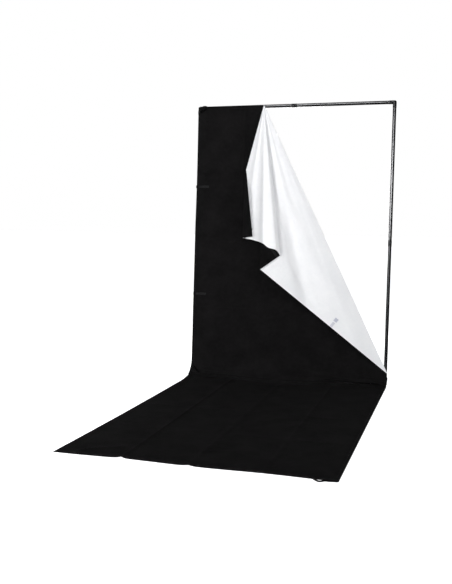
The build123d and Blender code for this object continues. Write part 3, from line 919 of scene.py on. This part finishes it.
# The pleats' lines, by their angle at the fold's top end, in degrees.
VALLEY_AT = 17.6  # the sharp valley of the lowest layer, beside its broad one
BROAD_AT = 12.6
CREST_OFF = 7.0  # the crest, back from the sharp valley
CRINKLE_AT = 3.4
FRONT_CREST_AT = 19.4  # on the front layer, from the fold's side outwards
FRONT_VALLEY_AT = 24.2
SECOND_CREST_AT = 28.8
LAST_CREST_AT = 35.0
SHORT_AT = 0.525  # a short crease across the front layer, by its distance from the top end


def low_layer_relief(angle, r):
    """Pleats of the layer that comes off the fold, by angle at the top end (degrees)."""
    valley_at = VALLEY_AT - 3.0 * step(r, 0.65, 1.05) - 12.0 * np.maximum(0.0, r - 1.2)
    valley = -0.014 * pleat(angle, valley_at, 0.7, 3.2) * (1 - 0.65 * step(r, 0.62, 0.95))
    broad = -0.018 * bump(angle, BROAD_AT - (r - 1.0), 2.0) * step(r, 0.75, 1.05)
    crest = 0.010 * bump(angle, valley_at - CREST_OFF, 2.2)
    swell = 0.010 * step(angle, 0.0, 2.5) * (1 - step(angle, 5.0, 9.0))
    crinkle = 0.003 * bump(angle, CRINKLE_AT, 0.9) * step(r, 0.5, 1.2)
    pleats = (valley + broad + crest) * (1 - step(r, 1.45, 1.8)) + swell + crinkle
    away = r * np.sin(np.radians(angle))
    return np.maximum(pleats, -STEEPEST_DIP * away)  # never back into the hung cloth


def front_layer_relief(angle, r):
    """Pleats of the front layer, kept clear of the middle layer behind it."""
    lifted = 0.012 * step(angle, 17.9, 18.8)
    crest = 0.006 * pleat(angle, FRONT_CREST_AT, 2.0, 0.6)
    valley = -0.015 * bump(angle, FRONT_VALLEY_AT, 1.6) * step(r, 0.1, 0.7)
    second = 0.006 * bump(angle, SECOND_CREST_AT, 2.2)
    short = 0.004 * ridge(r, SHORT_AT, 0.006) * step(angle, 31.0, 36.0)
    last = 0.004 * bump(angle, LAST_CREST_AT, 2.0)
    return lifted + crest + valley + second + short + last


def flap_sheet():
    """The pleated flap as one grid: rows follow the hem line, columns run out from the top."""
    flat, heights, low, front, turned = flap_hem()
    reach = np.linalg.norm(flat, axis=1)[:, None]
    angle = np.degrees(np.arctan2(flat[:, 1], flat[:, 0]))[:, None]
    near_top, near_hem = [0.0, 0.006, 0.015, 0.03], [0.98, 0.99, 1.0]
    rings = np.concatenate([near_top, np.linspace(0.05, 0.97, 84), near_hem])
    ring = rings[None, :]
    r = ring * reach
    relief = low[:, None] * low_layer_relief(angle, r)
    relief = relief + front[:, None] * front_layer_relief(angle, r)
    crumple = ripples(r, angle * 0.02 + 0 * r, CRUMPLE)
    spread, grown = ring**PARTING, ring**RELIEF_GROWTH
    out = (heights[:, None] + FLAP_START) * spread + relief * grown + crumple * ring
    along, away = flat[:, :1] * ring, flat[:, 1:] * ring
    turn = np.linspace(-math.pi / 2, math.pi / 2, 8)[:-1, None]
    roll_away = -np.cos(turn) * ROLL_R * spread
    roll_out = (np.sin(turn) + 1) * ROLL_R * spread - (FOLD_N - CLOTH_N)
    down = FOLD_LENGTH * ring + 0 * roll_away
    points = np.concatenate([on_flap(down, roll_away, roll_out), on_flap(along, away, out)])
    uv = np.stack([np.concatenate([down, along]), np.concatenate([roll_away, away])], -1)
    return points, uv, turned, rings


def turned_corner(fold_points):
    """The small corner of the flap that is turned over to the front, black side out."""
    shares = np.linspace(0, 1, len(fold_points))[:, None]
    corner = on_flap(*CLOTH_CORNER, 2 * LAYER_GAP + TURNED_LIFT)
    inward = corner + shares * (fold_points[-1] - corner) - fold_points
    width = np.linalg.norm(inward, axis=1)[:, None]
    turn_r = TURNED_R * np.minimum(1.0, width / 0.03)
    direction = inward / np.maximum(width, 1e-9)
    columns = []
    for angle in np.linspace(0, math.pi, 7):
        swing = -direction * math.sin(angle) + OUT * (1 - math.cos(angle))
        columns.append(fold_points + swing * turn_r)
    for share in np.linspace(0, 1, 12)[1:]:
        curl = 0.004 * math.sin(math.pi * share) * (1 - shares)
        columns.append(fold_points + inward * share + OUT * (2 * turn_r + curl))
    return np.stack(columns, 1)


def raised_hem(rows):
    """A hem's second layer as its own strip on the cloth's white side."""
    columns = [inset(rows, distance) for distance in (0.0005, HEM * 0.33, HEM * 0.66, HEM)]
    points = np.stack([c[0] for c in columns], 1)
    ups = np.stack([c[1] for c in columns], 1)
    run = np.arange(len(points))[:, None] * 0.01 + 0 * points[..., 0]
    uv = np.stack([run, np.broadcast_to([0.0, 0.007, 0.014, HEM], run.shape)], -1)
    vertices, faces, slots, uvs = sheet(points + ups * HEM_LIFT, HEM_EXTRA, uv, ups)
    return vertices, faces, [WHITE] * len(slots), uvs


def flap_parts():
    """The pleated sheet, the turned corner, and the raised and stitched hems."""
    points, uv, turned, rings = flap_sheet()
    ups = normals(points)
    ups[:, 0] = ups[:, 1]
    thick = np.interp(rings, [0, 0.05, 0.2], [0.0004, 0.0007, CLOTH])  # thinner at the top
    thick = np.repeat(thick[None, :], len(points), 0)
    parts = [sheet(points, thick, uv, ups, front=WHITE)]
    fold_line = points[-turned:, -1]
    corner = turned_corner(fold_line)
    corner_uv = uv[-turned:, -1][:, None] + np.linspace(0, 0.07, corner.shape[1])[None, :, None]
    corner_ups = normals(corner)
    corner_ups[-1] = corner_ups[-2]
    parts.append(sheet(corner, CLOTH, corner_uv, corner_ups, front=WHITE))
    low_rows = [grid[FOOT_ROWS:-turned, ::-1] for grid in (points, ups)]
    top_rows = [grid[:-turned - 2:-1, TOP_RINGS:].transpose(1, 0, 2) for grid in (points, ups)]
    parts += [raised_hem(low_rows), raised_hem(top_rows)]
    for rows in (low_rows, top_rows):
        parts += hem_stitching(rows, HEM_LIFT + HEM_EXTRA / 2, WHITE_THREAD)[:1]
        parts += hem_stitching(rows, CLOTH / 2, WHITE_THREAD)[1:]
    return parts


def fold_with_frame(piece):
    """Rides on the flap, with a mesh of its own."""
    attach(piece, "flap")
    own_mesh(piece)


fold_with_frame(cloth_piece("folded_corner_cloth", joined(flap_parts()), "cloth_flap"))


# ---- bands, tabs and patches ----

STRIP_COLUMNS = (-0.5, -0.46, 0.0, 0.46, 0.5)  # across a band, in widths
STRIP_FULLNESS = (0.55, 1.0, 1.0, 1.0, 0.55)  # its thickness there: thinner at the edges
BAND_THICK = 0.0012
BAND_THREAD = 1  # the thread's material slot on a band
SEW_IN = 0.002  # the stitches, in from a band's edges
SEW_LIFT = 0.0006
BAND_LIFT = 0.0006  # its middle, off the cloth
PATCH_W = 0.017


def beside(line, ups):
    """Unit directions across a band, at each point of its middle line."""
    return units(np.cross(ups, np.gradient(line, axis=0)))


def lay_strip(line, ups, width):
    """A flat band along a line of points, facing ups: (vertices, faces, slots, uvs)."""
    side = beside(line, ups)
    offsets = np.array(STRIP_COLUMNS) * width
    points = line[:, None] + side[:, None] * offsets[None, :, None]
    facing = np.broadcast_to(ups[:, None], points.shape)
    uv = np.stack(np.broadcast_arrays(run_along(line)[:, None], offsets[None, :]), -1)
    thick = BAND_THICK * np.array(STRIP_FULLNESS)[None, :]
    vertices, faces, slots, uvs = sheet(points, thick, uv, facing)
    return vertices, faces, [0] * len(slots), uvs


def box_stitches(line, ups, width):
    """Stitch rows along both sides and across both ends of a strip."""
    side = beside(line, ups)
    edge = width / 2 - SEW_IN
    parts = []
    for sign in (-1, 1):
        row = line + side * edge * sign + ups * SEW_LIFT
        parts.append(stitches(row, ups, BAND_THREAD))
    for end, inner in ((0, 1), (-1, -2)):
        across = np.linspace(-edge, edge, 5)[:, None] * side[end]
        inward = unit(line[inner] - line[end]) * SEW_IN
        row = line[end] + inward + across + ups[end] * SEW_LIFT
        parts.append(stitches(row, np.repeat(ups[end][None], 5, 0), BAND_THREAD))
    return parts


def sewn_strip(name, line, ups, width, materials, slot):
    """A band sewn on all round, as an object. Its materials are the band's and the thread's."""
    ups = np.broadcast_to(ups, line.shape)
    parts = [lay_strip(line, ups, width)] + box_stitches(line, ups, width)
    piece = add_object(name, joined(parts), materials)
    return piece


def tab_height(half):
    """How far up the panel's side a tab is."""
    return float((centre("side_tab_" + half) - BASE) @ UP)


def side_tab_patches():
    """Where each side tab is sewn through, a webbing patch shows on the cloth's front."""
    for half in ("lower", "upper"):
        x = np.linspace(-HALF + 0.022, -HALF + 0.104, 14)
        s = tab_height(half) + 0 * x
        line = on_panel(x, s, CLOTH_N + hung_relief(x, s) + HEM_LIFT + BAND_LIFT)
        name = "side_tab_patch_" + half
        piece = sewn_strip(name, line, FRONT, PATCH_W, [webbing, thread], "tab_webbing")
        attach(piece, half + "_frame")


side_tab_patches()


# The near-black corner bands: partly the straps' own black, partly painted shade of the grooves
# that their pull makes.
BINDING_AND_SHADE = (0.018, [elastic, thread], "elastic")      # width, materials and slot


def top_binding_and_shade():
    """Across the top left corner: it runs up to the right, from the side hem to the top hem."""
    # Painted shade: the band's near-black also stands for the shaded groove along the pulled
    # corner; the strap itself is real.
    x = -HALF + np.linspace(0.016, 0.070, 12)
    s = TOP - np.linspace(0.044, 0.012, 12)
    line = on_panel(x, s, CLOTH_N + hung_relief(x, s) + HEM_LIFT + 0.0007)
    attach(sewn_strip("corner_binding_and_shade_top_left", line, FRONT, *BINDING_AND_SHADE), "upper_frame")


def bottom_shade_band():
    """Across the bend at the left, laid along the cloth's bend."""
    # Painted shade: a near-black elastic strip on the front of the bend, where the strap behind
    # pulls a dimple into the cloth; it stands for that dimple's shade.
    rows = swept_rows()
    line, ups = [], []
    for share, height in zip(np.linspace(0.014, 0.056, 12), np.linspace(0.062, 0.020, 12)):
        column = swept_column(share, *rows)[: len(rows[0]) + len(rows[1]) - 4]
        at = len(column) - np.interp(height, column[::-1, 2], np.arange(len(column))) - 1
        k = int(at)
        leg = column[k + 1] - column[k]
        up = unit(np.cross(leg, X))
        line.append(column[k] + leg * (at - k))
        ups.append(up * (1 if up[1] < 0 else -1))
    ups = np.array(ups)
    line = np.array(line) + ups * (HEM_LIFT + 0.0008)
    blend_with_sweep(sewn_strip("corner_shade_band_bottom_left", line, ups, *BINDING_AND_SHADE))


top_binding_and_shade()
bottom_shade_band()


def low_layer_point(along, away, lift):
    """A point on the flap's lowest layer, and lift above its middle."""
    hem_angle = np.arctan2(LOW_HEM[:, 1], LOW_HEM[:, 0])
    r = np.hypot(along, away)
    angle = np.arctan2(away, along)
    ring = r / np.interp(angle, hem_angle, np.linalg.norm(LOW_HEM, axis=1))
    relief = low_layer_relief(np.degrees(angle), r)
    out = FLAP_START * ring**PARTING + relief * ring**RELIEF_GROWTH
    return on_flap(along, away, out + lift)


def hem_place(corners, distance):
    """The point at a distance along a hem line, and the direction along the hem there."""
    line = np.array(corners, float)
    run = run_along(line)
    k = min(int(np.searchsorted(run, distance)), len(line) - 1)
    return at_distance(distance, run, line), unit(line[k] - line[k - 1])


def inward_from(along_hem, axis):
    """The flat direction square to a hem that runs back along an axis of the flap."""
    inward = np.array([-along_hem[1], along_hem[0]])
    return inward * (-1 if inward[axis] > 0 else 1)


def flap_tabs():
    """The lower side tab hangs from the flap's hem, with a hook patch further in; where the upper
    tab is sewn, a webbing patch shows on the middle layer.
    """
    at, along_hem = hem_place(LOW_HEM, tab_height("lower") - FOLD_FOOT_S)
    inward = inward_from(along_hem, 1)
    for name, first, last, width, material in (
        ("flap_tab_lower", 0.002, 0.042, 0.020, pale_webbing),
        ("flap_hook_patch_lower", 0.050, 0.078, 0.028, hook_patch),
    ):
        flat = at + inward * np.linspace(first, last, 8)[:, None]
        line = low_layer_point(flat[:, 0], flat[:, 1], CLOTH / 2 + HEM_EXTRA + 0.0008)
        piece = sewn_strip(name, line, OUT, width, [material, white_thread], "tab_webbing")
        fold_with_frame(piece)
        if name == "flap_tab_lower":
            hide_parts("side_tabs_flap")
    run = tab_height("upper") - FOLD_FOOT_S - float(run_along(LOW_HEM)[-1])
    at, along_hem = hem_place([FIRST_PLEAT, SECOND_PLEAT], run)
    flat = at + inward_from(along_hem, 0) * np.linspace(0.004, 0.075, 10)[:, None]
    height = FLAP_START + LAYER_GAP + CLOTH / 2 + 0.0010
    line = on_flap(flat[:, 0], flat[:, 1], height)
    materials = [webbing, thread]
    piece = sewn_strip("flap_tab_patch_upper", line, OUT, PATCH_W, materials, "tab_webbing")
    fold_with_frame(piece)


flap_tabs()


def elastic_loop(name, line, ups, width, replaced):
    piece = add_object(name, lay_strip(line, np.broadcast_to(ups, line.shape), width), [elastic])
    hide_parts(replaced)
    return piece


def flap_corner_loop():
    """The elastic of the flap's corner, between the turned corner and the layer behind it."""
    corner = np.array(CLOTH_CORNER)
    ends = [corner + unit(np.array(p) - corner) * 0.062 for p in (TURNED_KINK, TURNED_FOLD)]
    t = np.linspace(0, 1, 14)[:, None]
    flat = ends[0] + (ends[1] - ends[0]) * t
    slack = 0.006 * np.sin(np.pi * t[:, 0])
    line = on_flap(flat[:, 0] + slack, flat[:, 1], 2 * LAYER_GAP + FLAP_START + 0.0235)
    fold_with_frame(elastic_loop("flap_corner_loop", line, OUT, 0.014, "corner_loop_flap"))


flap_corner_loop()


def front_corner_loop():
    """The loose elastic at the front right corner lies just off the hem, half on edge."""
    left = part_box("corner_loop_front_right")[0].x
    t = np.linspace(0, 1, 40)
    x = left + 0.008 + (HALF - left - 0.010) * t
    bow = (0.014 + 0.024 * bump(t, 0.22, 0.2)) * np.sin(np.pi * t) ** 0.35
    y = front_edge(x) + 0.003 - bow
    z = 0.0048 + 0.0010 * np.sin(np.pi * t * 3) ** 2
    line = np.stack([x, y, z], 1)
    replaced = "corner_loop_front_right"
    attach(elastic_loop("front_corner_loop", line, unit(Z - Y), 0.009, replaced), "sweep")


front_corner_loop()


# ---- floor, light and camera ----

FLOOR_HALF = 30.0  # half the studio floor's side
FLOOR_DROP = 0.0005  # keeps it clear of the cloth
FLOOR_GLOW = 0.80  # lifts the floor to white for the camera
AMBIENT = 1.12  # fill from the walls of the studio
OVERHEAD = 0.08  # share of that from straight above
FILL_TINT = (0.97, 0.98, 1.0)
PURE_WHITE = grey(1.0)
REFLECTED = 0.03  # what gloss sees of the dark part of the studio
NEARLY_SIDEWAYS = 0.001  # keeps the slopes finite

# Soft windows that only gloss sees, by sideways and upward slope of the direction to the front:
# strength, (left, right, softness), (low, high, softness).
WINDOWS = (
    (14.0, (-0.45, -0.15, 0.03), (0.42, 1.3, 0.1)),  # upright: lights the top bar's left
    (38.0, (-1.3, 0.2, 0.2), (0.155, 0.245, 0.03)),  # level: lights the post's upper half
)

# Area lights: name, place, aim, size, watts, whether gloss sees them.
LIGHTS = (
    ("key", (-4.2, -3.0, 2.4), (0.0, 0.0, 1.1), (1.0, 1.8), 192, False),
    ("fill", (4.6, -3.6, 2.2), (0.0, 0.0, 1.1), (1.0, 1.6), 76, False),
    ("back", (-0.7, 2.9, 1.3), (0.0, 0.1, 1.1), (0.8, 1.2), 34, True),
)


def studio_floor():
    """A plain pale floor: white to the camera, and dimmer in reflections."""
    m = Nodes("studio_floor")
    where = m.place()
    rays = m.add("ShaderNodeLightPath").outputs
    paper = m.mix(m.noise(where, 2.0), grey(0.80), grey(0.84))
    m.set(Base_Color=m.mix(rays["Is Glossy Ray"], paper, grey(0.12)))
    m.set(Roughness=0.9, Specular_IOR_Level=0.1, Emission_Color=PURE_WHITE)
    m.set(Emission_Strength=m.times(rays["Is Camera Ray"], FLOOR_GLOW))
    mesh = bpy.data.meshes.new("studio_floor")
    corners = [(-1, -1), (1, -1), (1, 1), (-1, 1)]
    places = [(FLOOR_HALF * x, FLOOR_HALF * y, -FLOOR_DROP) for x, y in corners]
    mesh.from_pydata(places, [], [(0, 1, 2, 3)])
    mesh.materials.append(m.material)
    floor = bpy.data.objects.new("studio_floor", mesh)
    link(floor)


def soft_box(name, where, towards, size, watts, in_gloss):
    data = bpy.data.lights.new(name, "AREA")
    data.shape = "RECTANGLE"
    data.size, data.size_y = size
    data.energy = watts
    light = bpy.data.objects.new(name, data)
    light.location = where
    light.rotation_mode = "QUATERNION"
    aim = Vector(towards) - Vector(where)
    light.rotation_quaternion = aim.to_track_quat("-Z", "Y")
    light.visible_glossy = in_gloss
    link(light)


def studio_windows(w, direction):
    """Strength of the reflected studio in each direction: dark, with two soft windows."""
    forward = w.times(direction["Y"], -1.0)
    distance = w.math("MAXIMUM", forward, NEARLY_SIDEWAYS)
    across = w.math("DIVIDE", direction["X"], distance)
    up = w.math("DIVIDE", direction["Z"], distance)
    lit = []
    for strength, sideways, upward in WINDOWS:
        inside = w.times(w.between(across, *sideways), w.between(up, *upward))
        lit.append(w.times(inside, strength))
    return w.plus(w.math("MAXIMUM", *lit), REFLECTED)


def studio_world():
    """White to the camera, softer as fill light, and dim in reflections so that gloss reads."""
    world = bpy.data.worlds.new("studio")
    w = Tree(world)
    rays = w.add("ShaderNodeLightPath").outputs
    where = w.add("ShaderNodeTexCoord").outputs["Generated"]
    direction = w.add("ShaderNodeSeparateXYZ", {0: where}).outputs
    fill = w.span(direction["Z"], 0.0, 1.0, AMBIENT, AMBIENT * OVERHEAD)
    gloss = studio_windows(w, direction)
    unseen = w.mix(rays["Is Glossy Ray"], fill, gloss, "FLOAT")
    background = w.tree.nodes["Background"].inputs
    w.put(background["Strength"], w.mix(rays["Is Camera Ray"], unseen, 1.0, "FLOAT"))
    w.put(background["Color"], w.mix(rays["Is Camera Ray"], FILL_TINT, PURE_WHITE))
    bpy.context.scene.world = world


def studio():
    studio_floor()
    studio_world()
    for light in LIGHTS:
        soft_box(*light)
    bpy.context.scene.view_settings.view_transform = "Standard"


CAMERA_AT = (1.32, -5.819, 1.287)
CAMERA_TURN = math.radians(17.14)  # to the left
CAMERA_TILT = math.radians(6.03)  # down
CAMERA_ROLL = math.radians(0.32)
SENSOR = 36.0  # mm, as the lens
LENS = 49.56
FAR = 100


def camera():
    """Chest height, beyond the panel's right side, looking left and a little down."""
    level = math.cos(CAMERA_TILT)
    aside, ahead = -math.sin(CAMERA_TURN) * level, math.cos(CAMERA_TURN) * level
    forward = Vector((aside, ahead, -math.sin(CAMERA_TILT)))
    data = bpy.data.cameras.new("camera")
    data.sensor_width = SENSOR
    data.lens = LENS
    data.clip_end = FAR
    cam = bpy.data.objects.new("camera", data)
    cam.location = CAMERA_AT
    cam.rotation_mode = "QUATERNION"
    roll = Quaternion((0, 0, 1), CAMERA_ROLL)
    cam.rotation_quaternion = forward.to_track_quat("-Z", "Y") @ roll
    link(cam)
    bpy.context.scene.camera = cam


studio()
camera()
